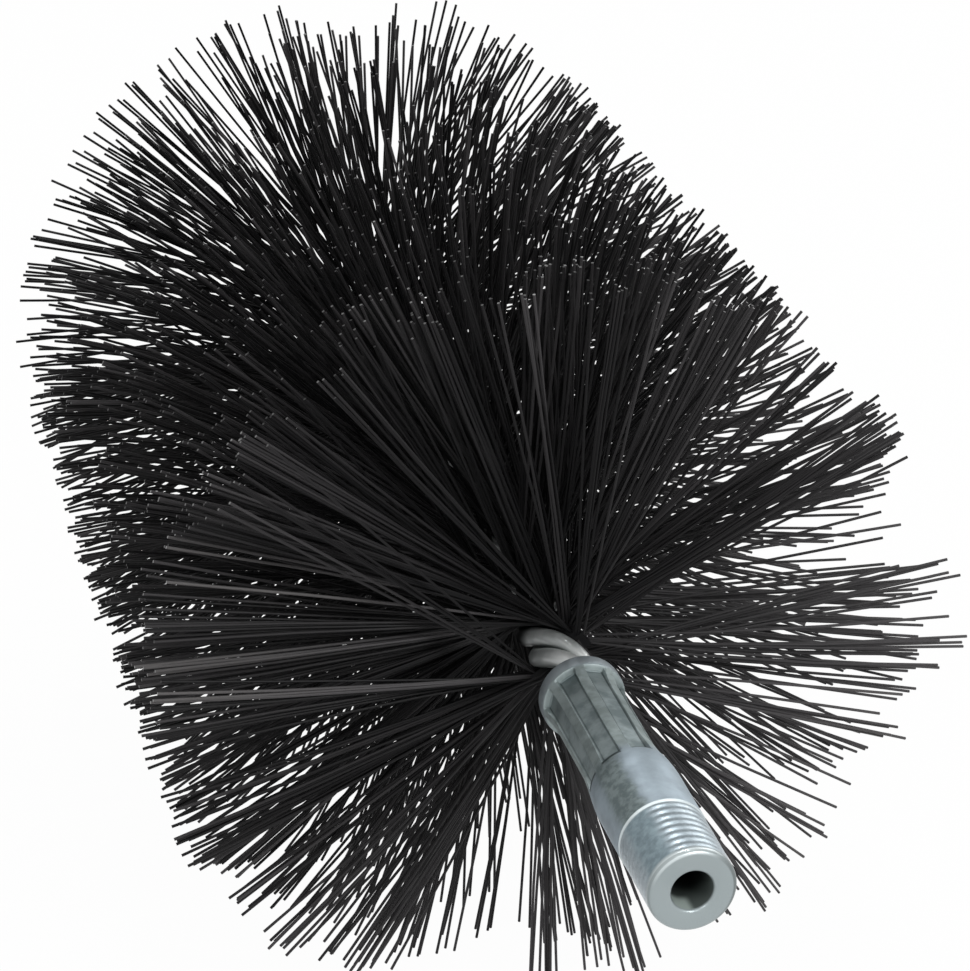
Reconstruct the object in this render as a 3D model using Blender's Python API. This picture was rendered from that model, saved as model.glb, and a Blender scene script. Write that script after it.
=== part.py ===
"""Chimney sweep brush, lying on its bristles with its threaded end towards -Y.

A turned steel fitting is crimped on a stem of two folded wires. The wires are twisted round a flat layer
of filaments, and the twist turns that layer into two screw-shaped rows of bristles, trimmed to one diameter.
Lengths are in metres, angles in degrees, and +Z is up. Distances along the brush start at the fitting's face.
"""
import math

import bmesh
import bpy
from mathutils import Matrix, Vector

# Room left between pieces that touch
seat_gap = 0.0003

# Fitting: a pipe-sized body with a male thread, a bore, and a socket that is crimped on the stem
fitting_length = 0.061
body_diameter = 0.01372
bore_diameter = 0.0063
bore_chamfer = 0.0004
end_face_diameter = 0.0118
end_chamfer = 0.0008
thread_length = 0.0142
thread_end_diameter = 0.0132
thread_back_diameter = 0.0134
shoulder_length = 0.0005
flare_start = 0.027
flare_end = 0.036
socket_depth = 0.026
collar_diameter = 0.0136
collar_length = 0.0024
collar_chamfer = 0.0004

# Crimp: the marks of eight jaws, with a ridge left standing where two jaws meet
jaws = 8
crimp_start = 0.0314
jaw_step = 0.0006
flats_across = 0.011
ridges_across = 0.0119
ridge_width = 0.0013
ridge_foot_spread = 0.0001
ridge_angle = 9.6
points_per_jaw = 4

# Stem: two wires, each folded once, so that four legs turn about the layer of filaments
wire_diameter = 0.003
stem_pitch = 0.035
stem_angle_at_face = 11.1
nose_length = 0.008
nose_settling = 0.004
wire_points_per_turn = 14
fold_points = 7
lay_passes = 5

# Bristles: cut layer of filaments, in slices that share one twist
brush_diameter = 0.135
brush_start = 0.0725
brush_length = 0.1565
layer_thickness = 0.0006
slices = 20
rows_per_slice = 11
strand_base_share = 0.6
strand_tip_share = 0.85
strand_fan = 65.0
fan_step_share = 0.715
front_reach = 0.035
front_splay = 0.0015
front_tilt = 0.0055
front_tilt_angle = 110.0
back_reach = 0.0625
back_splay = 0.0012
trim_spread = 0.003
trim_step_share = 0.754878
floor_cut = 0.0005

# Places and sizes that follow from the ones above
axis_height = brush_diameter / 2 - floor_cut
nose_end = brush_start + brush_length + nose_length
slice_length = (brush_length - (slices - 1) * seat_gap) / slices
row_pitch = slice_length / rows_per_slice


def lay_stretch(reach):
    """Gives how far the legs move apart because each crosses the stem at a slant, for legs at a given reach."""
    stretch = 1
    for _ in range(lay_passes):
        stretch = math.hypot(1, 2 * math.pi * reach * stretch / stem_pitch)
    return stretch


beside_leg = (wire_diameter + seat_gap) / 2
above_layer = (wire_diameter + layer_thickness) / 2 + seat_gap
slant = lay_stretch(math.hypot(beside_leg, above_layer))
leg_beside = beside_leg * slant
leg_above = above_layer * slant
stem_radius = math.hypot(leg_beside, leg_above) + wire_diameter / 2
fold_start = nose_end - wire_diameter / 2 - leg_above


def twist(distance):
    """Gives the stem's turn about its axis, in radians. It eases off just before the folds at the nose."""
    past_ease = min(max(distance - (fold_start - nose_settling), 0), nose_settling)
    slip = past_ease ** 2 / (2 * nose_settling) + max(distance - fold_start, 0)
    return math.radians(stem_angle_at_face) + math.tau * (distance - slip) / stem_pitch


def around(angle):
    """Gives the unit vector at an angle about the brush's axis, from +X towards +Z."""
    return Vector((math.cos(angle), 0, math.sin(angle)))


def on_stem(distance, beside, above):
    """Gives a place in the twisted stem: beside runs along the layer of filaments, above stands on it."""
    turn = twist(distance)
    return around(turn) * beside + around(turn + math.pi / 2) * above + Vector((0, distance, 0))


def new_material(name, colour, roughness, metallic):
    """Makes a plain surface for one kind of piece."""
    material = bpy.data.materials.new(name)
    material.use_nodes = True
    surface = material.node_tree.nodes["Principled BSDF"]
    surface.inputs["Base Color"].default_value = (*colour, 1)
    surface.inputs["Roughness"].default_value = roughness
    surface.inputs["Metallic"].default_value = metallic
    return material


def place(name, data, material, parent):
    """Makes the named object and hangs it on the brush's axis."""
    data.materials.append(material)
    piece = bpy.data.objects.new(name, data)
    piece.parent = parent
    bpy.context.scene.collection.objects.link(piece)
    return piece


def finish_mesh(name, shape, sharp_angle):
    """Turns a modelled shape into a mesh with its faces pointing out."""
    bmesh.ops.recalc_face_normals(shape, faces=shape.faces)
    mesh = bpy.data.meshes.new(name)
    shape.to_mesh(mesh)
    shape.free()
    mesh.shade_smooth()
    mesh.set_sharp_from_angle(angle=math.radians(sharp_angle))
    return mesh


def round_ring(distance, diameter):
    """Gives a round section of the fitting, with the same number of points as a crimped one."""
    count = jaws * points_per_jaw
    start = math.radians(ridge_angle) - math.pi / count
    points = []
    for number in range(count):
        points.append(around(start + math.tau * number / count) * diameter / 2 + Vector((0, distance, 0)))
    return points


def crimped_ring(distance, across_ridges):
    """Gives a section through the crimp: flats pressed by the jaws, and a ridge between each two."""
    half_jaw = math.pi / jaws
    half_foot = ridge_width / 2 + ridge_foot_spread
    foot = (flats_across / 2 - half_foot * math.sin(half_jaw)) / math.cos(half_jaw)
    points = []
    for number in range(jaws):
        ridge = math.radians(ridge_angle) + 2 * half_jaw * number
        following = ridge + 2 * half_jaw
        corners = [
            (ridge, across_ridges / 2, -ridge_width / 2),
            (ridge, across_ridges / 2, ridge_width / 2),
            (ridge, foot, half_foot),
            (following, foot, -half_foot),
        ]
        for angle, out, side in corners:
            points.append(around(angle) * out + around(angle + math.pi / 2) * side + Vector((0, distance, 0)))
    return points


def fitting_mesh():
    """Lofts the fitting through its sections, out over the crimp and back through the socket and the bore."""
    socket_diameter = 2 * (stem_radius + seat_gap) / math.cos(math.pi / (jaws * points_per_jaw))
    socket_start = fitting_length - socket_depth
    collar_start = fitting_length - collar_length
    flare_share = (crimp_start - flare_start) / (flare_end - flare_start)
    flare_diameter = body_diameter + (ridges_across - body_diameter) * flare_share
    sections = [
        round_ring(0, bore_diameter + 2 * bore_chamfer),
        round_ring(0, end_face_diameter),
        round_ring(end_chamfer, thread_end_diameter),
        round_ring(thread_length, thread_back_diameter),
        round_ring(thread_length + shoulder_length, body_diameter),
        round_ring(flare_start, body_diameter),
        round_ring(crimp_start, flare_diameter),
        crimped_ring(crimp_start + jaw_step, flare_diameter),
        crimped_ring(flare_end, ridges_across),
        crimped_ring(collar_start - jaw_step, ridges_across),
        round_ring(collar_start, collar_diameter),
        round_ring(fitting_length - collar_chamfer, collar_diameter),
        round_ring(fitting_length, collar_diameter - 2 * collar_chamfer),
        round_ring(fitting_length, socket_diameter + 2 * bore_chamfer),
        round_ring(fitting_length - bore_chamfer, socket_diameter),
        round_ring(socket_start, socket_diameter),
        round_ring(socket_start, bore_diameter),
        round_ring(bore_chamfer, bore_diameter),
    ]
    shape = bmesh.new()
    rings = [[shape.verts.new(point) for point in section] for section in sections]
    for ring, following in zip(rings, rings[1:] + rings[:1]):
        for number in range(len(ring)):
            shape.faces.new((ring[number - 1], ring[number], following[number], following[number - 1]))
    return finish_mesh("crimp_fitting", shape, 25)


def wire_curve(name, beside):
    """Runs one folded wire up one leg, round its fold at the nose, and back down the other leg."""
    cut_end_reach = wire_diameter / 2 * math.sqrt(1 - 1 / slant ** 2)
    start = fitting_length - socket_depth + seat_gap + cut_end_reach
    steps = math.ceil((fold_start - start) / stem_pitch * wire_points_per_turn)
    going = [start + (fold_start - start) * step / steps for step in range(steps + 1)]
    route = [on_stem(distance, beside, leg_above) for distance in going]
    for number in range(1, fold_points):
        bend = math.pi * number / fold_points
        route.append(on_stem(fold_start + leg_above * math.sin(bend), beside, leg_above * math.cos(bend)))
    route += [on_stem(distance, beside, -leg_above) for distance in reversed(going)]
    curve = bpy.data.curves.new(name, "CURVE")
    curve.dimensions = "3D"
    curve.bevel_depth = wire_diameter / 2
    curve.bevel_resolution = 2
    curve.use_fill_caps = True
    spline = curve.splines.new("POLY")
    spline.points.add(len(route) - 1)
    for point, where in zip(spline.points, route):
        point.co = (*where, 1)
    return curve


def ease(share):
    """Turns a share into one that leaves 0 and reaches 1 gently."""
    share = min(max(share, 0), 1)
    return share * share * (3 - 2 * share)


def strand_tip(distance, angle, row_number):
    """Gives where a strand ends: on the trimmed outline, splayed at the brush's ends, and uneven above its axis."""
    front = 1 - ease((distance - brush_start) / front_reach)
    back = ease((distance - brush_start - brush_length) / back_reach + 1)
    forward = front_splay + front_tilt * math.cos(angle - math.radians(front_tilt_angle))
    uneven = trim_spread * (row_number * trim_step_share % 1) * max(math.sin(angle), 0)
    splayed = Vector((0, distance + back_splay * back - forward * front, 0))
    return around(angle) * (brush_diameter / 2 - uneven) + splayed


def grow_strand(shape, base, row_number):
    """Draws one strand out of a face on the edge of the layer, straight to its end on the trimmed outline."""
    centre = base.calc_center_median()
    root_angle = math.atan2(centre.z, centre.x)
    fan = 2 * (row_number * fan_step_share % 1) - 1
    angle = root_angle + math.radians(strand_fan) * fan
    tip = strand_tip(centre.y, angle, row_number)
    direction = (tip - centre).normalized()
    root_side = around(root_angle + math.pi / 2)
    tip_side = around(math.atan2(direction.z, direction.x) + math.pi / 2)
    end = bmesh.ops.extrude_discrete_faces(shape, faces=[base])["faces"][0]
    for corner in end.verts:
        offset = (corner.co - centre) * strand_tip_share
        corner.co = tip + Vector((0, offset.y, 0)) + tip_side * offset.dot(root_side)
        if corner.co.z < -axis_height:
            corner.co += direction * (-axis_height - corner.co.z) / direction.z


def stretch_layer(shape, cap, length, turn):
    """Extrudes the layer's end face along the stem with the twist, and gives the new end and the two edge faces."""
    drawn = bmesh.ops.extrude_face_region(shape, geom=[cap])["geom"]
    corners = [item for item in drawn if isinstance(item, bmesh.types.BMVert)]
    cap = next(item for item in drawn if isinstance(item, bmesh.types.BMFace))
    bmesh.ops.translate(shape, verts=corners, vec=(0, length, 0))
    bmesh.ops.rotate(shape, verts=corners, cent=(0, 0, 0), matrix=Matrix.Rotation(-turn, 3, "Y"))
    short_sides = sorted(cap.edges, key=lambda edge: edge.calc_length())[:2]
    edge_faces = [face for edge in short_sides for face in edge.link_faces if face != cap]
    return cap, edge_faces


def bristle_mesh(name, number):
    """Makes one slice of the twisted layer, with a strand on each edge in each row."""
    start = brush_start + number * (slice_length + seat_gap)
    half_base = row_pitch * strand_base_share / 2
    levels = [start]
    for row in range(rows_per_slice):
        middle = start + row_pitch * (row + 0.5)
        levels += [middle - half_base, middle + half_base]
    levels.append(start + slice_length)
    shape = bmesh.new()
    half = layer_thickness / 2
    outline = [(stem_radius, -half), (stem_radius, half), (-stem_radius, half), (-stem_radius, -half)]
    cap = shape.faces.new([shape.verts.new(on_stem(start, *corner)) for corner in outline])
    bases = []
    ends = []
    for low, high in zip(levels, levels[1:]):
        ends.append(cap)
        cap, edge_faces = stretch_layer(shape, cap, high - low, twist(high) - twist(low))
        bases.append(edge_faces)
    bmesh.ops.delete(shape, geom=ends[1:], context="FACES_ONLY")
    for row in range(rows_per_slice):
        for base in bases[2 * row + 1]:
            grow_strand(shape, base, number * rows_per_slice + row)
    return finish_mesh(name, shape, 30)


def build():
    """Clears the scene and assembles the brush along one axis."""
    for leftover in list(bpy.data.objects):
        bpy.data.objects.remove(leftover)
    plated = new_material("zinc_plated_steel", (0.36, 0.4, 0.41), 0.38, 1)
    galvanised = new_material("galvanised_wire", (0.5, 0.53, 0.54), 0.3, 1)
    filament = new_material("black_filament", (0.012, 0.012, 0.013), 0.42, 0)
    axis = bpy.data.objects.new("brush_axis", None)
    axis.location = (0, -nose_end / 2, axis_height)
    bpy.context.scene.collection.objects.link(axis)
    place("crimp_fitting", fitting_mesh(), plated, axis)
    place("stem_wire_a", wire_curve("stem_wire_a", leg_beside), galvanised, axis)
    place("stem_wire_b", wire_curve("stem_wire_b", -leg_beside), galvanised, axis)
    for number in range(slices):
        name = f"bristle_row_{number + 1:02d}"
        place(name, bristle_mesh(name, number), filament, axis)


build()
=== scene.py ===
"""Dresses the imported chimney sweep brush: its fitting, its wires, its filaments and the studio round it."""

import math

import bpy
import numpy as np
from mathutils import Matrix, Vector


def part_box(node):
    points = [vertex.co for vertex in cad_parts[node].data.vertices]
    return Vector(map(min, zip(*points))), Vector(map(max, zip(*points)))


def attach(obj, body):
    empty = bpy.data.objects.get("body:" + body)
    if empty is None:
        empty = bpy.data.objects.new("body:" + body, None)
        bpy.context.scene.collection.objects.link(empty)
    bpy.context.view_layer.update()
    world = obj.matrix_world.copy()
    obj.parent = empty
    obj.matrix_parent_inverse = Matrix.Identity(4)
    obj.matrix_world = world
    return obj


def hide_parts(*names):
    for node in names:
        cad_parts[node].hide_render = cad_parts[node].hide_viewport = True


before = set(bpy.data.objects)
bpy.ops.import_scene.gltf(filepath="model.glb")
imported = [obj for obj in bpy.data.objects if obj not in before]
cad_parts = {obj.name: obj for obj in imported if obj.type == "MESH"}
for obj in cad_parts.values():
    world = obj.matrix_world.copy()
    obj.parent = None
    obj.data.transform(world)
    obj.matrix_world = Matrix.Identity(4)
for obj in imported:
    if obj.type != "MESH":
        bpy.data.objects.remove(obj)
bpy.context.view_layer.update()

# The fitting is turned from steel bar and zinc plated. It has a male thread for the rod, a drilled bore, and
# a socket at the back that eight jaws have pressed on the stem, with a ridge left between each two jaws.
fitting_low, fitting_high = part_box("crimp_fitting")
face_y = fitting_low.y
axis_z = (fitting_low.z + fitting_high.z) / 2
fitting_length = fitting_high.y - fitting_low.y
body_radius = 0.00686
bore_radius = 0.00315
bore_edge = 0.0004
socket_radius = 0.00478
socket_depth = 0.026
face_radius = 0.0059
nose_round = 0.0008
nose_rings = 14
thread_length = 0.0142
thread_pitch = 0.00165
thread_depth = 0.00007
thread_lead_in = 0.0017
thread_stop = 0.0001
rings_per_thread = 16
groove_half_share = 0.47
filled_share = 0.75
filled_blur = 0.3
whole_turns_added = 1000.0
crest_radius_front = 0.0067
crest_radius_back = 0.0068
shoulder_length = 0.0005
shoulder_end = thread_length + shoulder_length
flare_start = 0.0265
flare_end = 0.0385
outside_band = (body_radius * 0.8, body_radius * 0.83)
jaws = 8
ridge_angle = math.radians(9.6)
ridge_radius = 0.00597
ridge_sharp_angle = math.radians(35)
flat_reach = 0.0055
ridge_half_width = 0.0008
ridge_wall = 0.00016
crevice_width = 0.0004
crevice_depth = 0.00004
# Painted shadow: its share in the creases beside the ridges, then the line along the lip in front of the
# flats.
crevice_shade_share = 0.7
lip_line = 0.0003
lip_line_extra = 0.0004
lip_blur = 0.2
press_start = 0.0314
press_end = 0.0578
press_edge = 0.0003
flat_start_band = (press_start - press_edge * 0.5, press_start + press_edge * 0.5)
flat_end_band = (press_end - press_edge * 0.7, press_end + press_edge * 0.7)
bell_start = 0.0525
bell_end = 0.0586
bell_power = 1.8
collar_radius = 0.0068
collar_round = 0.0006
# Down the left side, between these turns, the plating is painted in shade where it reflects the dark
# bristles, and the thread is partly filled.
shade_side_from = math.radians(107)
shade_side_to = math.radians(146)
sector_angles = (0, 3, 5.5, 7.4, 8.1, 8.7, 9.3, 10, 11, 12.2, 13.6, 15.5, 18, 20.2)


class Signal:
    """A socket in a node tree, on which plain arithmetic adds Math nodes."""

    def __init__(self, net, socket):
        self.net = net
        self.socket = socket

    def math(self, operation, *others):
        return self.net.math(operation, self, *others)

    def __add__(self, other):
        return self.net.math("ADD", self, other)

    def __radd__(self, other):
        return self.net.math("ADD", other, self)

    def __sub__(self, other):
        return self.net.math("SUBTRACT", self, other)

    def __rsub__(self, other):
        return self.net.math("SUBTRACT", other, self)

    def __mul__(self, other):
        return self.net.math("MULTIPLY", self, other)

    def __rmul__(self, other):
        return self.net.math("MULTIPLY", other, self)

    def __truediv__(self, other):
        return self.net.math("DIVIDE", self, other)

    def __rtruediv__(self, other):
        return self.net.math("DIVIDE", other, self)


class Net:
    """A node tree that is filled by calls: each call adds one node or a few, and gives back an output."""

    def __init__(self, tree):
        self.tree = tree

    def feed(self, socket, value):
        """Links a signal to a socket, or sets a plain value on it."""
        if isinstance(value, Signal):
            self.tree.links.new(value.socket, socket)
        else:
            socket.default_value = value

    def add(self, kind, settings=None, sockets=None, output=0):
        """Adds a node of a kind, sets its settings, then its sockets by name or number."""
        node = self.tree.nodes.new(kind)
        for name, value in (settings or {}).items():
            setattr(node, name, value)
        for name, value in (sockets or {}).items():
            self.feed(node.inputs[name], value)
        return Signal(self, node.outputs[output])

    def math(self, operation, *values):
        return self.add("ShaderNodeMath", {"operation": operation}, dict(enumerate(values)))

    def step(self, value, low, high):
        """Rises smoothly from 0 to 1 as the value goes from low to high."""
        ends = {"Value": value, "From Min": low, "From Max": high}
        return self.add("ShaderNodeMapRange", {"interpolation_type": "SMOOTHSTEP"}, ends)

    def band(self, value, rise_low, rise_high, fall_low, fall_high):
        """Rises smoothly from 0 to 1 over the first two values, and falls back to 0 over the last two."""
        return self.step(value, rise_low, rise_high) * (1 - self.step(value, fall_low, fall_high))

    def parts(self, vector):
        """Gives the three numbers of a vector."""
        first = self.add("ShaderNodeSeparateXYZ", None, {0: vector})
        return [Signal(self, output) for output in first.socket.node.outputs]

    def vector(self, x, y, z):
        return self.add("ShaderNodeCombineXYZ", None, {0: x, 1: y, 2: z})

    def between(self, share, first, second):
        """Mixes two vectors, which a Mix node takes in its sockets 4 and 5."""
        return self.add("ShaderNodeMix", {"data_type": "VECTOR"}, {0: share, 4: first, 5: second}, 1)


def new_shape_tree(name, sizes):
    """Starts a Geometry Nodes tree with its sizes as named inputs, and gives its net and inputs."""
    tree = bpy.data.node_groups.new(name, "GeometryNodeTree")
    tree.interface.new_socket("Geometry", in_out="INPUT", socket_type="NodeSocketGeometry")
    tree.interface.new_socket("Geometry", in_out="OUTPUT", socket_type="NodeSocketGeometry")
    for label, value in sizes.items():
        kind = "NodeSocketInt" if isinstance(value, int) else "NodeSocketFloat"
        tree.interface.new_socket(label, in_out="INPUT", socket_type=kind).default_value = value
    net = Net(tree)
    entry = tree.nodes.new("NodeGroupInput")
    given = {socket.name: Signal(net, socket) for socket in entry.outputs if socket.name}
    return net, given


def close_shape_tree(net, geometry, material):
    """Ends a Geometry Nodes tree with real geometry in its material, and gives the tree."""
    real = net.add("GeometryNodeRealizeInstances", None, {"Geometry": geometry})
    painted = net.add("GeometryNodeSetMaterial", None, {"Geometry": real, "Material": material})
    net.feed(net.tree.nodes.new("NodeGroupOutput").inputs[0], painted)
    return net.tree


def bake_shape(name, mesh, tree, sizes):
    """Runs a Geometry Nodes tree on a mesh with the given sizes, and gives the plain result as an object."""
    start = bpy.data.objects.new(name + "_start", mesh)
    bpy.context.scene.collection.objects.link(start)
    modifier = start.modifiers.new("shape", "NODES")
    modifier.node_group = tree
    for socket in tree.interface.items_tree:
        if socket.in_out == "INPUT" and socket.name in sizes:
            modifier[socket.identifier] = sizes[socket.name]
    graph = bpy.context.evaluated_depsgraph_get()
    result = bpy.data.meshes.new_from_object(start.evaluated_get(graph))
    result.name = name
    bpy.data.objects.remove(start)
    piece = bpy.data.objects.new(name, result)
    bpy.context.scene.collection.objects.link(piece)
    return piece


class Finish(Net):
    """One material, with its Principled surface and the object's own coordinates about the brush's axis."""

    def __init__(self, name, settings):
        self.material = bpy.data.materials.new(name)
        self.material.use_nodes = True
        super().__init__(self.material.node_tree)
        self.surface = self.tree.nodes["Principled BSDF"]
        for label, value in settings.items():
            self.surface.inputs[label].default_value = value

    def place(self):
        """Gives coordinates in metres that start at the fitting's face, on the brush's axis."""
        own = self.add("ShaderNodeTexCoord", None, None, 3)
        return self.add("ShaderNodeMapping", None, {"Vector": own, "Location": (0, -face_y, -axis_z)})

    def noise(self, place, scale, detail=3.0, roughness=0.55):
        sockets = {"Vector": place, "Scale": scale, "Detail": detail, "Roughness": roughness}
        return self.add("ShaderNodeTexNoise", None, sockets)

    def mark(self, name):
        """Reads the number that the mesh keeps under a name."""
        return self.add("ShaderNodeAttribute", {"attribute_name": name}, None, 2)

    def colours(self, share, first, second):
        """Mixes two colours, plain or from other nodes, which a Mix node takes in its sockets 6 and 7."""
        ends = [end if isinstance(end, Signal) else (*end, 1) for end in (first, second)]
        return self.add("ShaderNodeMix", {"data_type": "RGBA"}, {0: share, 6: ends[0], 7: ends[1]}, 2)

    def mottled(self, noise, half_band, pair):
        """Goes from one colour of a pair to the other as the noise crosses its middle."""
        return self.colours(self.step(noise, 0.5 - half_band, 0.5 + half_band), *pair)

    def bump(self, height, distance):
        bumped = self.add("ShaderNodeBump", None, {"Height": height, "Distance": distance, "Strength": 1.0})
        self.feed(self.surface.inputs["Normal"], bumped)

    def give(self, label, value):
        """Feeds one of the surface's sockets."""
        self.feed(self.surface.inputs[label], value)


# The places between which each part of the plating fades in or out, from the face, the axis or, for turns,
# the right side. Where there are four, it fades in between the first two and out between the last two.
threaded_band = (thread_length, thread_length + thread_stop)
shoulder_band = (thread_length - 0.0003, thread_length - 0.0001, shoulder_end, shoulder_end + 0.0002)
face_band = (nose_round * 0.5, thread_lead_in)
rim_band = (face_radius, face_radius + 0.0003)
rim_line_band = (0.00015, 0.00025, 0.0005, 0.0007)
rim_line_side = (0.001, 0.003)
# Painted highlight on the top of the faced rim, then painted shade on its right side.
rim_highlight_side = (0.003, crest_radius_front)
rim_shade_side = (0.002, crest_radius_front)
# Painted shade down the left side of the fitting, with an edge that wanders.
shade_side_band = (shade_side_from, shade_side_from + 0.26, shade_side_to, shade_side_to + 0.4)
shade_side_wander = 0.5
crimped_band = (press_start - 0.0015, press_start + 0.003, press_end, press_end + 0.001)
pressed_band = (press_start, press_start + press_edge)
pressed_reach = (flat_reach + 0.0002, ridge_radius - 0.0001)
# The flats darken towards their back, next to the collar.
darker_back_band = (press_end - 0.009, press_end - 0.003)
collar_band = (press_end + 0.0001, press_end + 0.0008)
bore_side = (bore_radius + 0.0001, bore_radius + 0.0002)
bore_mouth = (0.0002, 0.0006)
# Painted shade deeper in the bore, and a painted pool of light low on the left at its mouth.
bore_shade_band = (bore_edge, bore_radius * 2.5)
bore_light_angles = (-2.8, -2.5, -1.75, -1.35)
bore_light_band = (0.0025, 0.0045)

satin_zinc = ((0.275, 0.325, 0.36), (0.35, 0.41, 0.455))
# The body's plating in painted shade down the left side.
shaded_body_zinc = ((0.165, 0.205, 0.21), (0.265, 0.315, 0.32))
crest_zinc = ((0.3, 0.36, 0.395), (0.38, 0.445, 0.485))
# The thread's plating in painted shade down the left side.
shaded_thread_zinc = ((0.19, 0.25, 0.28), (0.28, 0.36, 0.395))
crimped_zinc = ((0.2, 0.235, 0.235), (0.29, 0.335, 0.335))
pressed_zinc = ((0.16, 0.195, 0.2), (0.28, 0.325, 0.33))
faced_zinc = (0.33, 0.38, 0.39)
# Colours of the faced rim's painted highlight and painted shade.
rim_highlight_zinc = (0.6, 0.66, 0.67)
rim_shade_zinc = (0.16, 0.185, 0.185)
rim_line_grey = (0.2, 0.235, 0.24)
# The colour that the back of the flats darkens to.
darker_back_grey = (0.08, 0.1, 0.1)
collar_zinc = (0.29, 0.325, 0.345)
shoulder_zinc = (0.62, 0.68, 0.69)
# Painted shadow in the creases and along the lip of the flats.
crease_shade_grey = (0.03, 0.04, 0.04)
# Painted shade in the bore, then its painted pool of light.
bore_shade_greys = ((0.07, 0.085, 0.08), (0.01, 0.013, 0.012))
bore_light_zinc = (0.34, 0.4, 0.375)
rim_line_share = 0.6
darker_back_share = 0.45
shoulder_share = 0.75
crease_shade_share = 0.8
cloud_scale = 260.0
patch_scale = 240.0
mottle_scale = 800.0
speck_scale = 1500.0
grain_scale = 2600.0
wave_scale = 600.0
plating_relief = 0.00006


def turned_colour(finish, place, cloud, threaded, painted_shade_side):
    """Satin zinc on the body and brighter zinc on the thread, both greyer in painted shade down the left
    side, where the metal reflects the dark bristles.
    """
    speck = finish.noise(place, speck_scale, 2.0, 0.7)
    mottle = finish.noise(place, mottle_scale, 2.0, 0.6)
    satin = finish.mottled(cloud, 0.2, satin_zinc)
    grey = finish.mottled(mottle, 0.15, shaded_body_zinc)
    crests = finish.mottled(speck, 0.2, crest_zinc)
    filled = finish.mottled(mottle, 0.2, shaded_thread_zinc)
    body = finish.colours(painted_shade_side, satin, grey)
    thread = finish.colours(painted_shade_side, crests, filled)
    return finish.colours(threaded, body, thread)


def faced_colour(finish, outside, place, end):
    """The faced end, with a painted highlight on its rim above, painted shade on its rim to the right, and a
    thin line behind it.
    """
    x, along, z = finish.parts(place)
    rim = finish.step((x * x + z * z).math("SQRT"), *rim_band)
    outside = finish.colours(end, outside, faced_zinc)
    # Painted highlight on the top of the rim, and painted shade on its right side further down.
    rim_highlight = rim * finish.step(z - x * 0.3, *rim_highlight_side)
    outside = finish.colours(end * rim_highlight, outside, rim_highlight_zinc)
    line = finish.band(along, *rim_line_band) * finish.step(z - x, *rim_line_side)
    outside = finish.colours(line * rim_line_share, outside, rim_line_grey)
    rim_shade = rim * finish.step(x, *rim_shade_side)
    return finish.colours(end * rim_shade, outside, rim_shade_zinc)


def crimped_colour(finish, outside, along, patch, crimped, pressed):
    """Worn zinc over the crimp, duller on the flats and darker towards their back, then collar, shoulder and
    the painted shadow in the creases.
    """
    outside = finish.colours(crimped, outside, finish.mottled(patch, 0.12, crimped_zinc))
    outside = finish.colours(pressed, outside, finish.mottled(patch, 0.14, pressed_zinc))
    # The flats darken towards their back, next to the collar.
    darker_back = finish.step(along, *darker_back_band) * pressed
    outside = finish.colours(darker_back * darker_back_share, outside, darker_back_grey)
    outside = finish.colours(finish.step(along, *collar_band), outside, collar_zinc)
    shoulder = finish.band(along, *shoulder_band)
    outside = finish.colours(shoulder * shoulder_share, outside, shoulder_zinc)
    # Painted shadow in the creases beside the ridges and along the lip of the flats.
    return finish.colours(finish.mark("crease_shade") * crease_shade_share, outside, crease_shade_grey)


def bore_colour(finish, along, angle):
    """The bore's wall in painted shade, darker deeper in, with a painted pool of light low on the left near
    the mouth.
    """
    wall = finish.colours(finish.step(along, *bore_shade_band), *bore_shade_greys)
    # Painted light: a pool of light that falls into the bore's mouth, low on the left.
    bore_light_patch = finish.band(angle, *bore_light_angles) * (1 - finish.step(along, *bore_light_band))
    return finish.colours(bore_light_patch, wall, bore_light_zinc)


def plated_steel():
    """Zinc plating: a soft blue-grey metal, bright on the thread, dull and mottled where the jaws pressed."""
    finish = Finish("plated_steel", {"Coat Roughness": 0.08})
    place = finish.place()
    x, along, z = finish.parts(place)
    out = (x * x + z * z).math("SQRT")
    angle = z.math("ARCTAN2", x)
    cloud = finish.noise(place, cloud_scale)
    patch = finish.noise(place, patch_scale, 3.0, 0.6)
    threaded = 1 - finish.step(along, *threaded_band)
    # Painted shade: the mask of the left side, where the plating reflects the dark bristles.
    painted_shade_side = finish.band(angle + (patch - 0.5) * shade_side_wander, *shade_side_band)
    end = 1 - finish.step(along, *face_band)
    crimped = finish.band(along, *crimped_band)
    pressed = finish.step(along, *pressed_band) * (1 - finish.step(out, *pressed_reach))
    bored = (1 - finish.step(out, *bore_side)) * finish.step(along, *bore_mouth)

    outside = turned_colour(finish, place, cloud, threaded, painted_shade_side)
    outside = faced_colour(finish, outside, place, end)
    outside = crimped_colour(finish, outside, along, patch, crimped, pressed)
    finish.give("Base Color", finish.colours(bored, outside, bore_colour(finish, along, angle)))

    dulled = threaded * painted_shade_side
    metal_lost = bored * 0.9 + dulled * 0.2 + threaded * 0.3 + end * (1 - bored) * 0.2
    finish.give("Metallic", 1 - metal_lost)
    brushed = finish.step(along, thread_length, shoulder_end)
    rougher = cloud * 0.12 + brushed * 0.16 + crimped * 0.06 + bored * 0.2 + dulled * 0.25
    finish.give("Roughness", 0.3 + rougher)
    finish.give("Coat Weight", threaded * (1 - painted_shade_side) * 0.3)
    grain = finish.noise(place, grain_scale, 2.0)
    wave = finish.noise(place, wave_scale, 1.0)
    finish.bump(grain * 0.25 + wave * crimped * 0.4, plating_relief)
    return finish.material


def spaced(start, end, rings):
    """Gives evenly spaced places for rings, after the start and up to the end."""
    return np.linspace(start, end, rings + 1)[1:]


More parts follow.
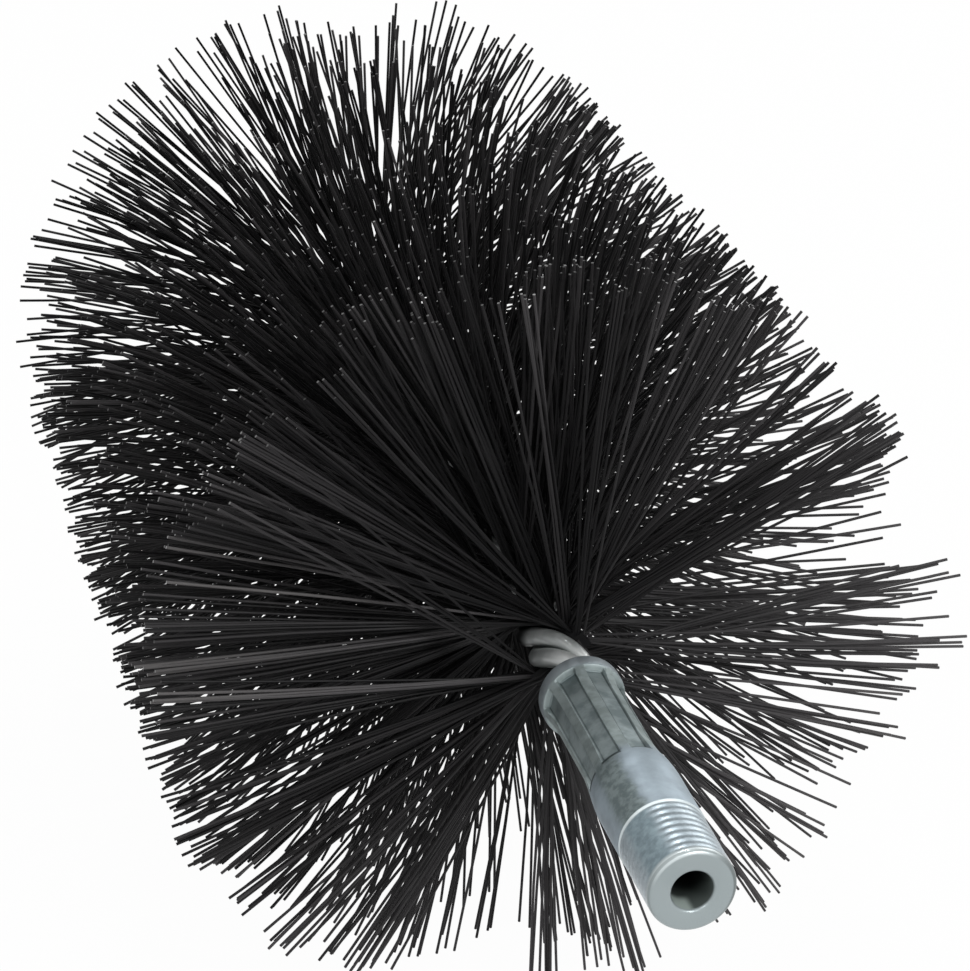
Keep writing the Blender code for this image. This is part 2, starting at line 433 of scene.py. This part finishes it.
def nose_stations():
    """Gives distance and radius of each ring of the blank from its face to the end of the body."""
    stations = []
    for bend in np.linspace(0, math.pi / 2, nose_rings):
        out = face_radius + (crest_radius_front - face_radius) * math.sin(bend)
        stations.append((nose_round * (1 - math.cos(bend)), out))
    crest_rings = round(thread_length / thread_pitch * rings_per_thread) - 1
    for distance in spaced(nose_round, thread_length, crest_rings):
        share = distance / thread_length
        stations.append((distance, crest_radius_front + (crest_radius_back - crest_radius_front) * share))
    stations.append((thread_length + thread_stop, body_radius - shoulder_length + thread_stop))
    stations.append((shoulder_end, body_radius))
    stations += [(distance, body_radius) for distance in spaced(shoulder_end, flare_start, rings=4)]
    return stations


def crimp_stations():
    """Gives distance and radius of each ring of the blank from its flare to the end of its collar."""
    stations = []
    lip_start = press_start - lip_line - lip_line_extra - press_edge
    before = spaced(flare_start, lip_start, rings=9)
    lip = spaced(lip_start, press_start + press_edge, rings=25)
    after = spaced(press_start + press_edge, flare_end, rings=11)
    for distance in (*before, *lip, *after):
        share = (distance - flare_start) / (flare_end - flare_start)
        soft = share * share * (3 - 2 * share)
        stations.append((distance, body_radius + (ridge_radius - body_radius) * soft))
    stations += [(distance, ridge_radius) for distance in spaced(flare_end, bell_start, rings=13)]
    before = spaced(bell_start, press_end - press_edge, rings=9)
    step_up = spaced(press_end - press_edge, press_end + press_edge, rings=12)
    for distance in (*before, *step_up, bell_end):
        rise = (distance - bell_start) / (bell_end - bell_start)
        stations.append((distance, ridge_radius + (collar_radius - ridge_radius) * rise ** bell_power))
    stations.append((fitting_length - collar_round, collar_radius))
    for bend in spaced(0, math.pi / 2, rings=5):
        out = collar_radius - collar_round + collar_round * math.cos(bend)
        stations.append((fitting_length - collar_round + collar_round * math.sin(bend), out))
    return stations


def inside_stations():
    """Gives distance and radius of each ring from the blank's back, through socket and bore, to its face."""
    socket_start = fitting_length - socket_depth
    stations = [(fitting_length, socket_radius + bore_edge), (fitting_length - bore_edge, socket_radius)]
    stations += [(socket_start, socket_radius), (socket_start, bore_radius)]
    stations += [(distance, bore_radius) for distance in spaced(socket_start, bore_edge, rings=6)]
    stations += [(bore_edge * 0.35, bore_radius + bore_edge * 0.45), (0.0, bore_radius + bore_edge)]
    return stations


def fitting_blank():
    """Turns the fitting's closed profile about its axis, with points that lie denser at the ridges."""
    profile = nose_stations() + crimp_stations() + inside_stations()
    half_sector = 180 / jaws
    offsets = [-a for a in sector_angles[:0:-1]] + list(sector_angles) + [half_sector]
    angles = []
    for jaw in range(jaws):
        angles += [ridge_angle + math.radians(2 * half_sector * jaw + offset) for offset in offsets]
    around_steps = len(angles)
    points = []
    for distance, out in profile:
        for angle in angles:
            points.append((out * math.cos(angle), face_y + distance, axis_z + out * math.sin(angle)))
    faces = []
    rings = len(profile)
    for ring in range(rings):
        here = ring * around_steps
        there = (ring + 1) % rings * around_steps
        for step in range(around_steps):
            following = (step + 1) % around_steps
            faces.append((here + step, there + step, there + following, here + following))
    mesh = bpy.data.meshes.new("fitting_blank")
    mesh.from_pydata(points, [], faces)
    return mesh


fitting_sizes = {
    "Pitch": thread_pitch,
    "Depth": thread_depth,
    "Length": thread_length,
    "Flat reach": flat_reach,
}


def threaded_radius(net, given, out, along, angle, outside):
    """Cuts a shallow thread in the blank's nose, partly filled with zinc down the left side, where the
    plating is painted in shade.

    The whole turns that are added keep the count of turns positive, so that its fraction grows evenly.
    """
    turns = along / given["Pitch"] - angle / math.tau + whole_turns_added
    from_groove = (turns.math("FRACT") - 0.5).math("ABSOLUTE")
    groove = 1 - net.step(from_groove, 0.0, groove_half_share)
    crest = crest_radius_front + (crest_radius_back - crest_radius_front) * along / given["Length"]
    lead_in = net.step(along, nose_round, thread_lead_in)
    filled = net.step(angle, shade_side_from, shade_side_from + filled_blur) * filled_share
    cut = crest - groove * lead_in * (1 - filled) * given["Depth"]
    on_nose = along.math("LESS_THAN", given["Length"] + thread_stop / 2)
    threaded = net.math("MINIMUM", out, cut)
    return out + (threaded - out) * on_nose * outside


def pressed_radius(net, given, turned, along, angle, outside):
    """Presses the flats between the ridges, and gives the new radius and the painted shadow in the creases
    and along the lip of the flats.
    """
    sector = math.tau / jaws
    from_ridge = ((angle - ridge_angle + 2 * sector) / sector + 0.5).math("FRACT") - 0.5
    off = from_ridge.math("ABSOLUTE") * sector
    side = turned * off.math("SINE")
    flat = given["Flat reach"] / (sector / 2 - off).math("COSINE")
    wall = net.step(side, ridge_half_width, ridge_half_width + ridge_wall)
    begins = net.step(along, *flat_start_band)
    ends = net.step(along, *flat_end_band)
    pressing = wall * begins * (1 - ends) * outside
    crevice = wall * (1 - net.step(side, ridge_half_width + ridge_wall, ridge_half_width + crevice_width))
    pressed = turned + (net.math("MINIMUM", flat - crevice * crevice_depth, turned) - turned) * pressing
    # A painted shadow line along the lip just in front of the flats, wider down the left side.
    lip_width = lip_line + net.step(angle, shade_side_from - lip_blur, shade_side_from) * lip_line_extra
    lip = net.step(along, press_start - lip_width - press_edge * 0.5, press_start - lip_width)
    lip = lip * wall * outside * (1 - net.step(along, press_start, press_start + press_edge))
    return pressed, net.math("MAXIMUM", crevice * pressing * crevice_shade_share, lip)


def fitting_tree(material):
    """Cuts the thread into the blank's nose and presses the flats into its socket."""
    net, given = new_shape_tree("cut_and_press", fitting_sizes)
    x, y, z = net.parts(net.add("GeometryNodeInputPosition"))
    along = y - face_y
    up = z - axis_z
    out = (x * x + up * up).math("SQRT")
    angle = up.math("ARCTAN2", x)
    outside = net.step(out, *outside_band)
    turned = threaded_radius(net, given, out, along, angle, outside)
    pressed, crease_shade = pressed_radius(net, given, turned, along, angle, outside)
    grow = pressed / out
    moved = net.vector(x * grow, y, up * grow + axis_z)
    # Keeps the painted shadow of the creases on the points, for the plating to read.
    marks = {"Geometry": given["Geometry"], "Name": "crease_shade", "Value": crease_shade}
    marked = net.add("GeometryNodeStoreNamedAttribute", {"data_type": "FLOAT", "domain": "POINT"}, marks)
    shaped = net.add("GeometryNodeSetPosition", None, {"Geometry": marked, "Position": moved})
    return close_shape_tree(net, shaped, material)


steel = plated_steel()
fitting = bake_shape("threaded_crimp_fitting", fitting_blank(), fitting_tree(steel), fitting_sizes)
fitting.data.shade_smooth()
fitting.data.set_sharp_from_angle(angle=ridge_sharp_angle)
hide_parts("crimp_fitting")
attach(fitting, "root")

# The stem is two drawn and galvanised wires. Each is folded once, and all four legs are twisted left-handed
# round the filaments in one operation, so they lie hard on each other; the folds make the nose.
wire_radius = 0.00158
leg_beside = 0.0018
leg_above = 0.0023
stem_pitch = 0.035
stem_angle_at_face = math.radians(11.1)
wire_start = 0.0362
nose_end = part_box("stem_wire_a")[1].y - face_y
fold_start = nose_end - wire_radius - leg_above
fold_easing = 0.004
fold_points = 14
wire_steps_per_turn = 36
wire_sides = 20
wire_sharp_angle = math.radians(40)
crown_band = (leg_above + wire_radius * 0.45, leg_above + wire_radius * 1.3)
# Painted highlight on the wire where it leaves the fitting.
wire_highlight_band = (0.063, 0.0705)
# Painted shade where the wire lies inside the packed filaments.
packed_shade_band = (0.0778, 0.0818, 0.214, 0.224)
drawn_zinc = ((0.66, 0.7, 0.69), (0.82, 0.85, 0.84))
# Painted shade over the wire, then its painted highlight.
wire_shade_zinc = (0.3, 0.32, 0.32)
wire_highlight_zinc = (0.97, 0.99, 0.98)
# Painted shade in the valleys between the legs.
valley_shade_zinc = (0.16, 0.18, 0.175)
packed_shade_dark = (0.04, 0.042, 0.042)
# How much painted shade the wire gets away from the fitting.
wire_shade_share = 0.35
wire_cloud_scale = 420.0
wire_relief = 0.000003


def stem_turn(distance):
    """Gives the stem's turn about its axis, easing off before the folds."""
    past = min(max(distance - (fold_start - fold_easing), 0), fold_easing)
    slip = past ** 2 / (2 * fold_easing) + max(distance - fold_start, 0)
    return stem_angle_at_face + math.tau * (distance - slip) / stem_pitch


def in_stem(distance, beside, above):
    """Gives a place in the twisted stem, beside the middle of the filaments or above them."""
    turn = stem_turn(distance)
    x = beside * math.cos(turn) - above * math.sin(turn)
    z = beside * math.sin(turn) + above * math.cos(turn)
    return Vector((x, face_y + distance, axis_z + z))


def galvanised_wire():
    """Drawn wire under thin zinc, with a painted highlight where it leaves the fitting, painted shade over
    the rest, deeper in the valleys between the legs and near black where the filaments are packed.
    """
    finish = Finish("galvanised_wire", {"Metallic": 0.7, "Coat Weight": 0.7, "Coat Roughness": 0.14})
    place = finish.place()
    x, along, z = finish.parts(place)
    cloud = finish.noise(place, wire_cloud_scale)
    drawn = finish.mottled(cloud, 0.2, drawn_zinc)
    # Painted shade over the wire, and a painted highlight where it leaves the fitting.
    wire_shaded = finish.colours(wire_shade_share, drawn, wire_shade_zinc)
    wire_highlight = 1 - finish.step(along, *wire_highlight_band)
    zinc = finish.colours(wire_highlight, wire_shaded, wire_highlight_zinc)
    # Painted shade in the valleys between the legs, with the crowns left bright.
    crown = finish.step((x * x + z * z).math("SQRT"), *crown_band)
    zinc = finish.colours(1 - crown, zinc, valley_shade_zinc)
    # Painted shade: the wire is made nearly black where the filaments are packed round it.
    finish.give("Base Color", finish.colours(finish.band(along, *packed_shade_band), zinc, packed_shade_dark))
    finish.give("Roughness", 0.29 + cloud * 0.08)
    finish.bump(finish.noise(place, grain_scale, 2.0), wire_relief)
    return finish.material


def wire_piece(name, beside, material):
    """Sweeps one folded wire up one leg, round its fold and down the other leg."""
    steps = round((fold_start - wire_start) / stem_pitch * wire_steps_per_turn)
    going = np.linspace(wire_start, fold_start, steps)
    route = [in_stem(distance, beside, leg_above) for distance in going]
    for bend in np.linspace(0, math.pi, fold_points)[1:-1]:
        reach = leg_above * math.sin(bend)
        route.append(in_stem(fold_start + reach, beside, leg_above * math.cos(bend)))
    route += [in_stem(distance, beside, -leg_above) for distance in going[::-1]]
    curve = bpy.data.curves.new(name, "CURVE")
    curve.dimensions = "3D"
    curve.bevel_depth = wire_radius
    curve.bevel_resolution = wire_sides // 2 - 2
    curve.use_fill_caps = True
    spline = curve.splines.new("POLY")
    spline.points.add(len(route) - 1)
    for point, where in zip(spline.points, route):
        point.co = (*where, 1)
    sweep = bpy.data.objects.new(name + "_route", curve)
    bpy.context.scene.collection.objects.link(sweep)
    graph = bpy.context.evaluated_depsgraph_get()
    mesh = bpy.data.meshes.new_from_object(sweep.evaluated_get(graph))
    bpy.data.objects.remove(sweep)
    mesh.name = name
    mesh.materials.clear()
    mesh.materials.append(material)
    mesh.shade_smooth()
    mesh.set_sharp_from_angle(angle=wire_sharp_angle)
    piece = bpy.data.objects.new(name, mesh)
    bpy.context.scene.collection.objects.link(piece)
    return piece


wire_finish = galvanised_wire()
for letter, beside in (("a", leg_beside), ("b", -leg_beside)):
    wire = wire_piece(f"twisted_wire_{letter}", beside, wire_finish)
    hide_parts(f"stem_wire_{letter}")
    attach(wire, "root")

# The bristles are black extruded filaments. They are laid as a thick layer between the legs of the wires,
# caught there by the twist, and trimmed to one diameter afterwards, so they leave the stem in tufts on two
# screw lines.
rows = 20
brush_start = 0.0725
brush_length = 0.1565
row_length = brush_length / rows
keys_per_row = 40
strands_per_row = 128
near_rows = 3
near_row_strands = 252
near_reach = 0.035
strand_radius = 0.00024
strand_sides = 6
strand_points = 5
strand_sharp_angle = math.radians(50)
strand_bow = 0.0008
own_bow_share = 0.4

layer_half_width = 0.0042
layer_half_height = 0.0011
# The fringe widens the packed layer into a dark sheet: partly packed filaments, partly standing for the shade
# round the stem.
layer_fringe = 0.0013
layer_points = (7, 14, 3)
layer_shade = 0.1
core_width_share = 0.2
core_height_share = 0.4

tuft_strands = 7
tuft_fan = math.radians(90)
tuft_jitter = 0.1
tuft_lean = 0.035
golden_step = 0.618034
arm_turn_share = 0.4
arm_spot_share = 0.37
strand_fan = math.radians(3.0)
strand_lean = 0.02
even_angle = math.radians(10)
loose_fan = math.radians(9.5)
stray_share = 0.1
stray_fan = math.radians(18)
sparse_angle = math.radians(-16)
sparse_push = 0.22
sparse_push_near = 0.06

tip_radius = 0.0658
tip_offset = 0.0013
tip_offset_angle = math.radians(207)
tip_ragged = 0.0016
tuft_ragged_share = 0.5
ragged_out_share = 0.6
broken_share = 0.06
broken_short = 0.006
trimmed_angle = math.radians(50)
trimmed_short = 0.0026
trimmed_band = (brush_start + brush_length * 0.35, brush_start + brush_length * 0.6)
long_angle = math.radians(0)
long_reach = 0.0055
long_power = 4.0
floor_gap = 0.0003
least_down = 0.05
far_band = (brush_start + brush_length * 0.6, brush_start + brush_length)
far_spread = 0.0012
near_spread = 0.0015
near_tilt = 0.0055
near_tilt_angle = math.radians(110)

tuft_shade_share = 0.4
shade_power = 2.6
# Painted light: how much paler the front strands are, and the strands that point low to the right, towards
# the light.
near_shade = 0.06
side_light_amount = 0.9
side_light_angle = math.radians(-45)
# Painted highlight: the share of front tufts made pale along their length, and how pale.
pale_share = 0.02
pale_range = (0.9, 1.9)
front_from = 0.8
front_range = (0.7, 1.0)
deep_black = (0.0015, 0.0015, 0.0018)
# The paler end of the strands' tone, reached by random tone and by painted light.
tone_and_light_black = (0.06, 0.057, 0.059)
pale_black = (0.1, 0.095, 0.095)
cut_grey = (0.3, 0.3, 0.3)
cut_from = 0.9995
scuff_scale = 700.0

# Each pale group lies at the front and catches the light. Its numbers are the degree round the axis where
# its middle points, the degrees to either side of that, and how pale it is.
pale_groups = ((163.4, 1.6, 3.4), (158.0, 1.8, 1.9), (176.5, 0.9, 2.4), (11.0, 2.0, 1.7))


def black_filament():
    """Black plastic filament: nearly black and of random tone, in painted shade towards its root and painted
    light towards its tip, with a paler, square-cut end.
    """
    finish = Finish("black_filament", {"Specular IOR Level": 0.1})
    shade = finish.mark("shade")
    along = finish.mark("along")
    scuff = finish.noise(finish.place(), scuff_scale, 2.0)
    # Random tone times painted light and shade along the strand: roots are kept dark as painted shade, and
    # strands lifted past 1 by painted light turn pale.
    tone_and_light = shade * (0.2 + along * along)
    body = finish.colours(tone_and_light, deep_black, tone_and_light_black)
    body = finish.colours((tone_and_light - 1) * 0.8, body, pale_black)
    cut = along.math("GREATER_THAN", cut_from)
    finish.give("Base Color", finish.colours(cut * shade, body, cut_grey))
    finish.give("Roughness", 0.36 + scuff * 0.14)
    return finish.material


def row_draws(net, row):
    """Gives the function that draws one fixed random number for each strand or tuft, by a key of its own."""

    def chance(low, high, key, who):
        sockets = {2: low, 3: high, 7: who, 8: row * keys_per_row + key}
        return net.add("FunctionNodeRandomValue", {"data_type": "FLOAT"}, sockets, 1)

    return chance


def in_twist(beside, above, turn):
    """Turns a place in the stem's cross-section, and gives how far it lies across and above the floor."""
    across = beside * turn.math("COSINE") - above * turn.math("SINE")
    upward = beside * turn.math("SINE") + above * turn.math("COSINE")
    return across, upward + axis_z


def towards(turn, angle):
    """Is 1 for what points at the angle, and falls to 0 at a right angle to it."""
    return (turn - angle).math("COSINE").math("MAXIMUM", 0.0)


def keep(net, geometry, name, value, kind):
    """Stores a value on every point under a name."""
    sockets = {"Geometry": geometry, "Name": name, "Value": value}
    return net.add("GeometryNodeStoreNamedAttribute", {"data_type": kind, "domain": "POINT"}, sockets)


def kept(net, name, kind):
    """Reads what was stored under a name."""
    return net.add("GeometryNodeInputNamedAttribute", {"data_type": kind}, {"Name": name})


def strand_roots(given, chance, index):
    """Gives where each strand leaves the stem, the turn of the layer's edge there, its tuft and its fan."""
    arm = index.math("MODULO", 2.0)
    rank = (index / 2).math("FLOOR")
    share = (rank + chance(0.0, 1.0, 1, index)) / (given["Strands"] / 2)
    distance = given["Start"] + share * given["Length"]
    turn = distance * (math.tau / stem_pitch) + stem_angle_at_face + arm * math.pi
    passed = (given["Row"] - 1) * given["Strands"] / 2
    turn_taken = ((passed + rank) / tuft_strands + arm * arm_turn_share).math("FLOOR")
    tuft = turn_taken * 2 + arm
    stem_half_turns = given["Length"] / stem_pitch * 4 * tuft_strands / given["Strands"]
    spot = turn_taken * (golden_step - stem_half_turns) + arm * arm_spot_share
    spot = (spot + chance(0.0, tuft_jitter, 2, tuft)).math("FRACT")
    fan = (spot * 2 - 1) * given["Tuft fan"]
    return distance, turn, tuft, fan


def tip_turns(chance, index, near, turn, fan):
    """Gives the turn of each tip: its tuft's fan, a little of its own, and a push off the sparse side."""
    stray = chance(0.0, 1.0, 4, index).math("LESS_THAN", stray_share)
    own = chance(-1.0, 1.0, 5, index).math("POWER", 3.0) * strand_fan
    looser = (1.1 - near) * (0.6 - (turn + fan - even_angle).math("COSINE") * 0.4)
    own = own + chance(-1.0, 1.0, 25, index) * looser * loose_fan
    tip_turn = turn + fan + own + stray * chance(-1.0, 1.0, 6, index) * stray_fan
    return tip_turn + (tip_turn - sparse_angle).math("SINE") * (sparse_push + near * sparse_push_near)


def tip_reaches(net, given, chance, index, tuft, distance, near, tip_turn):
    """Gives each tip's distance from the axis: trimmed a little unevenly, and clear of the floor."""
    tuft_ragged = chance(-1.0, 1.0, 9, tuft) * tip_ragged * tuft_ragged_share
    ragged = tuft_ragged + chance(-1.0, ragged_out_share, 10, index) * tip_ragged
    broken = chance(0.0, 1.0, 11, index).math("LESS_THAN", broken_share)
    short = broken * chance(0.0, broken_short, 12, index)
    lopsided = (tip_turn - tip_offset_angle).math("COSINE") * tip_offset
    trimmed = towards(tip_turn, trimmed_angle) * net.step(distance, *trimmed_band)
    reach = given["Tip radius"] + lopsided + ragged - short - trimmed * trimmed_short
    long = towards(tip_turn, long_angle).math("POWER", long_power) * near
    reach = reach + long * long_reach * chance(0.0, 1.0, 22, index).math("POWER", 2.0)
    down = (0 - tip_turn.math("SINE")).math("MAXIMUM", least_down)
    return reach.math("MINIMUM", (axis_z - strand_radius - floor_gap) / down)


def tip_leans(net, given, chance, index, tuft, distance, near, tip_turn, reach):
    """Gives how far each tip lies behind its root: tufts lean at random, and both ends of the brush splay."""
    lean = chance(-1.0, 1.0, 7, tuft) * given["Tuft lean"]
    lean = lean + chance(-1.0, 1.0, 8, index).math("POWER", 3.0) * strand_lean
    tilt = (tip_turn - near_tilt_angle).math("COSINE") * near_tilt + near_spread
    spread = net.step(distance, *far_band) * far_spread - near * tilt
    return spread + lean * reach


def strand_shades(net, chance, index, tuft, near, tip_turn):
    """Gives how pale each strand is: most are dark at random, and painted light makes the front strands,
    those pointing towards the lit side and a few front groups paler.
    """
    own_shade = chance(0.0, 1.0, 20, index) * (1 - tuft_shade_share)
    shade = own_shade + chance(0.0, 1.0, 21, tuft) * tuft_shade_share
    # Painted light: strands that point low to the right, towards the light, are made paler, and the front
    # ones more so.
    side_lit = towards(tip_turn, side_light_angle) * (near * 0.5 + 0.5) * side_light_amount
    shade = shade.math("POWER", shade_power) + near * near_shade + side_lit
    # Painted highlight: a few front tufts are made pale along their length.
    pale = chance(0.0, 1.0, 23, tuft).math("LESS_THAN", near * pale_share)
    shade = net.math("MAXIMUM", shade, pale * chance(*pale_range, 24, index))
    front = near.math("GREATER_THAN", front_from) * chance(*front_range, 26, index)
    for middle, half_fan, paleness in pale_groups:
        closeness = (tip_turn - math.radians(middle)).math("COSINE")
        inside = closeness.math("GREATER_THAN", math.cos(math.radians(half_fan)))
        shade = net.math("MAXIMUM", shade, inside * front * paleness)
    return shade


def strand_seeds(net, given):
    """Gives a point for each strand, which keeps its places in the core, at the edge and at the tip."""
    index = net.add("GeometryNodeInputIndex")
    chance = row_draws(net, given["Row"])
    distance, turn, tuft, fan = strand_roots(given, chance, index)
    near = 1 - net.step(distance, brush_start, brush_start + near_reach)
    tip_turn = tip_turns(chance, index, near, turn, fan)
    reach = tip_reaches(net, given, chance, index, tuft, distance, near, tip_turn)
    lean = tip_leans(net, given, chance, index, tuft, distance, near, tip_turn, reach)
    level = chance(-1.0, 1.0, 13, index) * (layer_half_height - strand_radius)
    edge_x, edge_z = in_twist(layer_half_width, level, turn)
    core_x, core_z = in_twist(layer_half_width * core_width_share, level * core_height_share, turn)
    tip_x = reach * tip_turn.math("COSINE")
    tip_z = reach * tip_turn.math("SINE") + axis_z
    root_y = distance + face_y
    bows = []
    for key in (14, 16, 18):
        own_bow = chance(-own_bow_share, own_bow_share, key + 1, index)
        bows.append(chance(-1.0, 1.0, key, tuft) * strand_bow + own_bow * strand_bow)
    places = {
        "core": net.vector(core_x, root_y, core_z),
        "edge": net.vector(edge_x, root_y, edge_z),
        "tip": net.vector(tip_x, root_y + lean, tip_z),
        "bow": net.vector(*bows),
    }
    seeds = net.add("GeometryNodePoints", None, {"Count": given["Strands"]})
    for name, place in places.items():
        seeds = keep(net, seeds, name, place, "FLOAT_VECTOR")
    return keep(net, seeds, "shade", strand_shades(net, chance, index, tuft, near, tip_turn), "FLOAT")


def swept_strands(net, given, seeds):
    """Sweeps a strand from each seed's core over the edge of the layer to its tip, with a slight bow."""
    line = net.add("GeometryNodeCurvePrimitiveLine", None, {"Start": (0, 0, 0), "End": (0, 0, 1)})
    line = net.add("GeometryNodeResampleCurve", None, {"Curve": line, "Count": strand_points})
    strands = net.add("GeometryNodeInstanceOnPoints", None, {"Points": seeds, "Instance": line})
    strands = net.add("GeometryNodeRealizeInstances", None, {"Geometry": strands})
    strands = keep(net, strands, "along", net.add("GeometryNodeSplineParameter"), "FLOAT")
    last = strand_points - 1
    run = (kept(net, "along", "FLOAT") * last - 1) / (last - 1)
    free = run.math("MAXIMUM", 0.0)
    core, edge, tip, bow = (kept(net, name, "FLOAT_VECTOR") for name in ("core", "edge", "tip", "bow"))
    route = net.between(run.math("LESS_THAN", -0.01), net.between(free, edge, tip), core)
    bowed = net.between((free * math.pi).math("SINE"), (0, 0, 0), bow)
    moved = {"Geometry": strands, "Position": route, "Offset": bowed}
    strands = net.add("GeometryNodeSetPosition", None, moved)
    profile = {"Resolution": strand_sides, "Radius": given["Strand radius"]}
    circle = net.add("GeometryNodeCurvePrimitiveCircle", None, profile)
    sweep = {"Curve": strands, "Profile Curve": circle, "Fill Caps": True}
    return net.add("GeometryNodeCurveToMesh", None, sweep)


def packed_layer(net, given):
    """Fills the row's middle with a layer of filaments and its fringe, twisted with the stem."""
    # The fringe is partly packed filaments and partly a dark sheet that stands for the shade round the stem.
    size = net.vector(2 * (layer_half_width + layer_fringe), given["Length"], 2 * layer_half_height)
    counts = dict(zip(("Vertices X", "Vertices Y", "Vertices Z"), layer_points))
    layer = net.add("GeometryNodeMeshCube", None, {"Size": size, **counts})
    x, y, z = net.parts(net.add("GeometryNodeInputPosition"))
    distance = y + given["Start"] + given["Length"] / 2
    turn = distance * (math.tau / stem_pitch) + stem_angle_at_face
    across, upward = in_twist(x, z, turn)
    twisted = {"Geometry": layer, "Position": net.vector(across, distance + face_y, upward)}
    layer = net.add("GeometryNodeSetPosition", None, twisted)
    return keep(net, layer, "shade", layer_shade, "FLOAT")


row_sizes = {
    "Start": brush_start,
    "Length": row_length,
    "Strands": strands_per_row,
    "Tip radius": tip_radius,
    "Strand radius": strand_radius,
    "Tuft fan": tuft_fan,
    "Tuft lean": tuft_lean,
    "Row": 1,
}


def bristle_tree(material):
    """Grows one row of tufts and the layer that they grow from."""
    net, given = new_shape_tree("bristle_row", row_sizes)
    strands = swept_strands(net, given, strand_seeds(net, given))
    layer = packed_layer(net, given)
    joined = net.tree.nodes.new("GeometryNodeJoinGeometry")
    for part in (strands, layer):
        net.tree.links.new(part.socket, joined.inputs[0])
    smooth = net.add("GeometryNodeSetShadeSmooth", None, {"Geometry": Signal(net, joined.outputs[0])})
    return close_shape_tree(net, smooth, material)


row_tree = bristle_tree(black_filament())
for number in range(rows):
    sizes = {**row_sizes, "Start": brush_start + number * row_length, "Row": number + 1}
    sizes["Strands"] = near_row_strands if number < near_rows else strands_per_row
    empty_mesh = bpy.data.meshes.new("row_start")
    row = bake_shape(f"filament_row_{number + 1:02d}", empty_mesh, row_tree, sizes)
    row.data.set_sharp_from_angle(angle=strand_sharp_angle)
    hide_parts(f"bristle_row_{number + 1:02d}")
    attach(row, "root")

# The brush lies on a plain white floor in soft studio light, seen past its threaded end from above. The floor
# and the sky look white to the camera and in reflections, but light the brush no more than a pale room does.
lens_pixels = 3565
picture_pixels = 971
sensor_width = 36
eye = Vector((-0.13375, -0.4147, 0.2672))
eye_pitch = math.radians(64.92)
eye_turn = math.radians(-13.98)
view_end = 20
floor_size = 6.0
floor_grey = (0.8, 0.8, 0.8, 1)
white = (1, 1, 1, 1)
floor_white_share = 0.975
sky_light = 0.36
lamps = (
    ("right_softbox", (0.8, 0.5, 0.66), 0.7, 4.0),
    ("top_lamp", (-0.035, 0.52, 1.0), 0.06, 2.4),
    ("overhead_lamp", (0.1, -0.05, 1.1), 0.08, 1.2),
    ("front_softbox", (0.4, -1.0, 0.75), 0.3, 6.0),
    ("camera_side_lamp", (-0.46, -0.73, 0.79), 0.25, 1.6),
)


def looked_at(net):
    """Is 1 for rays that show a surface, and 0 for rays that only carry its light to another one."""
    rays = net.add("ShaderNodeLightPath").socket.node.outputs
    seen = Signal(net, rays["Is Camera Ray"]) + Signal(net, rays["Is Glossy Ray"])
    return (seen + Signal(net, rays["Is Transmission Ray"])).math("MINIMUM", 1.0)


white_floor = Finish("white_floor", {"Base Color": floor_grey, "Roughness": 0.9, "Specular IOR Level": 0.0})
glow = white_floor.add("ShaderNodeEmission", None, {"Color": white, "Strength": 1.0})
shadowed = Signal(white_floor, white_floor.surface.outputs[0])
whitened = {0: looked_at(white_floor) * floor_white_share, 1: shadowed, 2: glow}
floor_look = white_floor.add("ShaderNodeMixShader", None, whitened)
white_floor.feed(white_floor.tree.nodes["Material Output"].inputs["Surface"], floor_look)
half = floor_size / 2
corners = [(-half, -half, 0), (half, -half, 0), (half, half, 0), (-half, half, 0)]
floor_mesh = bpy.data.meshes.new("studio_floor")
floor_mesh.from_pydata(corners, [], [(0, 1, 2, 3)])
floor_mesh.materials.append(white_floor.material)
floor = bpy.data.objects.new("studio_floor", floor_mesh)
bpy.context.scene.collection.objects.link(floor)

sky = bpy.data.worlds.new("studio")
bpy.context.scene.world = sky
sky.use_nodes = True
sky_net = Net(sky.node_tree)
background = sky.node_tree.nodes["Background"]
background.inputs["Color"].default_value = white
sky_net.feed(background.inputs["Strength"], sky_light + looked_at(sky_net) * (1 - sky_light))

target = Vector((0, 0, axis_z))
for name, where, size, power in lamps:
    light = bpy.data.lights.new(name, "AREA")
    light.size = size
    light.energy = power
    lamp = bpy.data.objects.new(name, light)
    lamp.location = where
    lamp.rotation_euler = (target - Vector(where)).to_track_quat("-Z", "Y").to_euler()
    bpy.context.scene.collection.objects.link(lamp)

camera_data = bpy.data.cameras.new("camera")
camera_data.sensor_width = sensor_width
camera_data.lens = lens_pixels / picture_pixels * sensor_width
camera_data.clip_end = view_end
camera = bpy.data.objects.new("camera", camera_data)
camera.location = Vector((0, face_y, axis_z)) + eye
camera.rotation_euler = (eye_pitch, 0, eye_turn)
bpy.context.scene.collection.objects.link(camera)
bpy.context.scene.camera = camera

bpy.context.scene.view_settings.view_transform = "Standard"
